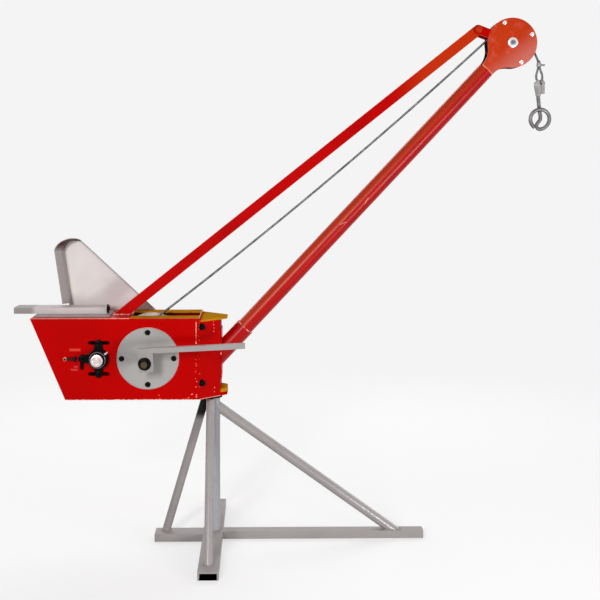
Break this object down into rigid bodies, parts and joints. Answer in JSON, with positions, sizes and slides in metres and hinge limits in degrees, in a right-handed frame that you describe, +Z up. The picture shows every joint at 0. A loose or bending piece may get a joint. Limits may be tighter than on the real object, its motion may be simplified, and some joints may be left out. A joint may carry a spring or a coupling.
{
  "type": "portable mini crane",
  "caption": "Slewing winch box with a fixed slanting jib and stay, a round head with a sheave, a hoist rope with a pigtail hook, and a post on a cross base.",
  "frame": {"origin": "the post's axis at floor level, on the underside of the cross base", "axes": "+X towards the jib's head and the hook, +Y away from the side with the lever, +Z up"},
  "size_m": [2.05, 0.728, 1.9944],
  "materials": {
    "grey_paint": "satin",
    "red_paint": "gloss",
    "mustard_paint": "satin",
    "bright_steel": "satin",
    "cover_metal": "satin",
    "black_iron": "satin",
    "guard_paint": "satin",
    "zinc_steel": "satin",
    "rope_wire": "matte"
  },
  "bodies": {
    "base": {"base_channel": "grey_paint", "short_foot": "grey_paint", "long_foot": "grey_paint", "post": "grey_paint", "left_brace": "grey_paint", "long_brace": "grey_paint", "front_brace": "grey_paint", "back_brace": "grey_paint", "slewing_collar": "bright_steel"},
    "upper": {"front_wall": "red_paint", "back_wall": "red_paint", "end_wall": "red_paint", "floor_plate": "red_paint", "top_plate": "red_paint", "top_strips": "mustard_paint", "bulkhead": "red_paint", "nose_top_plate": "mustard_paint", "nose_bottom_plate": "mustard_paint", "nose_sides": "red_paint", "jib_plate": "red_paint", "pivot_sleeve": "red_paint", "jib_socket": "red_paint", "jib_tube": "red_paint", "stay_tube": "red_paint", "stay_lugs": "red_paint", "front_cheek": "red_paint", "rear_cheek": "red_paint", "head_pins": "bright_steel", "bearing_cover": "cover_metal", "input_housing": "black_iron", "latch_pin": "red_paint", "motor_plate": "grey_paint", "motor_rail": "grey_paint", "belt_guard": "guard_paint", "hoist_rope": "rope_wire", "rope_clip": "zinc_steel"},
    "drum": {"rope_drum": "grey_paint", "rope_pack": "rope_wire"},
    "lever": {"lever": "grey_paint"},
    "input": {"input_shaft": "bright_steel"},
    "sheave": {"head_sheave": "bright_steel"},
    "hook": {"hook_clevis": "zinc_steel", "hook_pin": "bright_steel", "pigtail_hook": "zinc_steel"}
  },
  "joints": [
    {"name": "slew_turn", "type": "hinge", "parent": "base", "child": "upper", "pos_m": [0, 0, 0.55], "axis": [0, 0, 1], "continuous": true},
    {"name": "drum_spin", "type": "hinge", "parent": "upper", "child": "drum", "pos_m": [-0.242, 0, 0.719], "axis": [0, 1, 0], "continuous": true},
    {"name": "lever_swing", "type": "hinge", "parent": "upper", "child": "lever", "pos_m": [-0.242, -0.213, 0.719], "axis": [0, 1, 0], "range_deg": [-25, 20]},
    {"name": "input_spin", "type": "hinge", "parent": "upper", "child": "input", "pos_m": [-0.424, 0, 0.719], "axis": [0, 1, 0], "continuous": true},
    {"name": "sheave_spin", "type": "hinge", "parent": "upper", "child": "sheave", "pos_m": [1.13082, 0, 1.90042], "axis": [0, 1, 0], "continuous": true},
    {"name": "hook_swing", "type": "hinge", "parent": "upper", "child": "hook", "pos_m": [1.24732, 0, 1.74792], "axis": [0, 1, 0], "range_deg": [-35, 35]}
  ]
}
